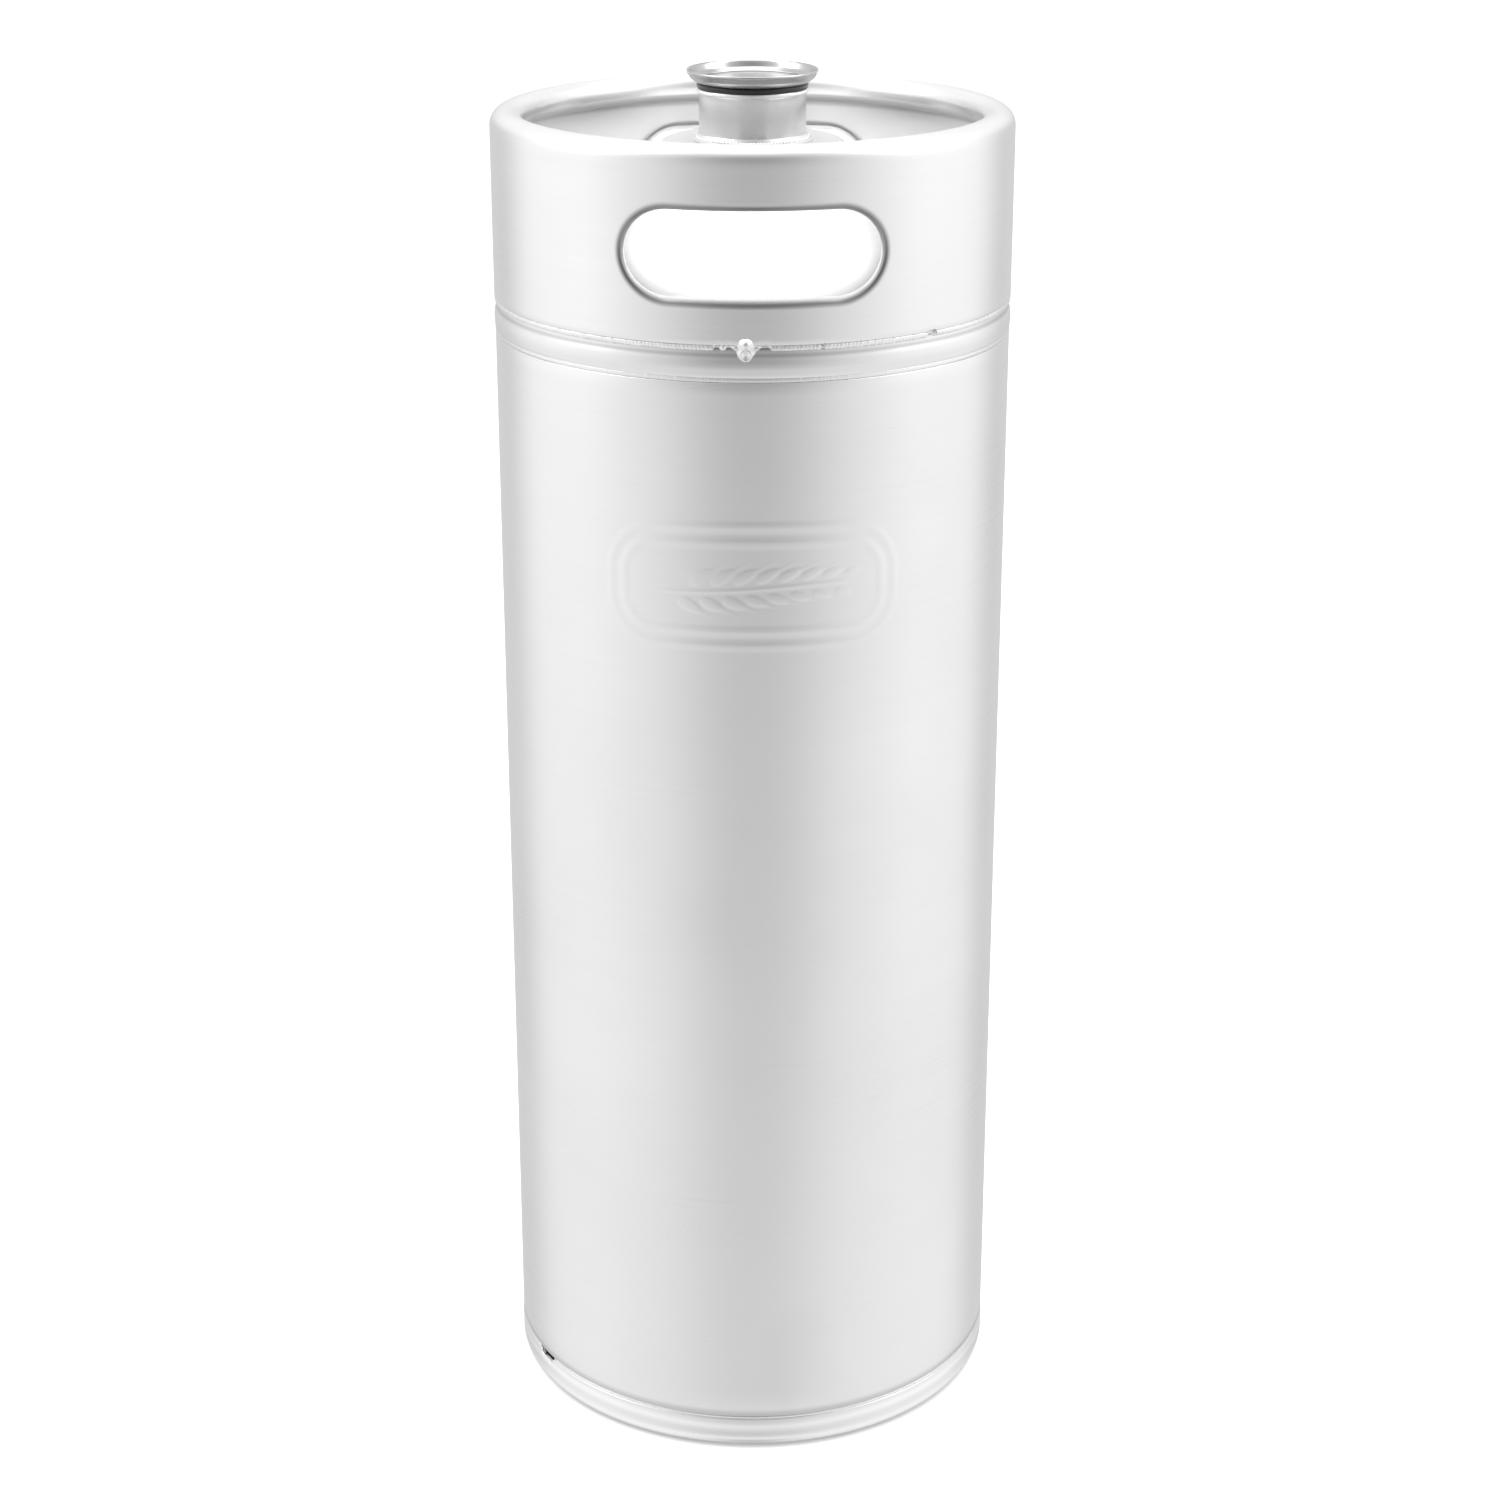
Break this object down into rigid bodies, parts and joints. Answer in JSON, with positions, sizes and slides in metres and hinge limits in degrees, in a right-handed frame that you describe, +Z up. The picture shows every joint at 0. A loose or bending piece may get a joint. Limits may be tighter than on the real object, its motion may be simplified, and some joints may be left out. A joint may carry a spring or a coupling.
{
  "type": "beer keg",
  "caption": "Tall stainless mini beer keg with a rolled collar, two hand slots, an embossed blank panel and a screw cap on a threaded neck.",
  "frame": {"origin": "centre of the foot ring's underside, on the surface the keg stands on", "axes": "+Z up along the keg's axis; the front, with the embossed panel, faces -Y; +X is the viewer's right"},
  "size_m": [0.1686, 0.1702, 0.4571],
  "materials": {
    "brushed_shell": "satin stainless sheet, fine brushed grain running round the body",
    "drawn_head": "pressed stainless, softly satin, unpolished",
    "weld_bead": "ground stainless weld with a faint heat tint",
    "turned_fitting": "turned stainless with fine lathe rings",
    "seal": "matt black food-grade silicone"
  },
  "bodies": {
    "keg": {"barrel_shell": "brushed_shell", "barrel_seam_weld": "weld_bead", "bottom_head": "drawn_head", "foot_ring": "brushed_shell", "foot_weld": "weld_bead", "top_head": "drawn_head", "head_weld": "weld_bead", "neck": "turned_fitting", "neck_weld": "weld_bead", "collar": "brushed_shell", "collar_seam_weld": "weld_bead", "collar_weld": "weld_bead", "collar_tack_welds": "weld_bead"},
    "seal": {"cap_gasket": "seal"},
    "cap": {"cap_dish": "turned_fitting", "cap_plug": "turned_fitting"}
  },
  "joints": [
    {"name": "cap_rise", "type": "slide", "parent": "keg", "child": "seal", "axis": [0, 0, 1], "range_m": [0, 0.015]},
    {"name": "cap_turn", "type": "hinge", "parent": "seal", "child": "cap", "pos_m": [0, 0, 0.4531], "axis": [0, 0, 1], "range_deg": [0, 1800]}
  ],
  "couplings": [
    {"joint": "cap_rise", "follows": "cap_turn", "m_per_rad": 0.00047746}
  ]
}
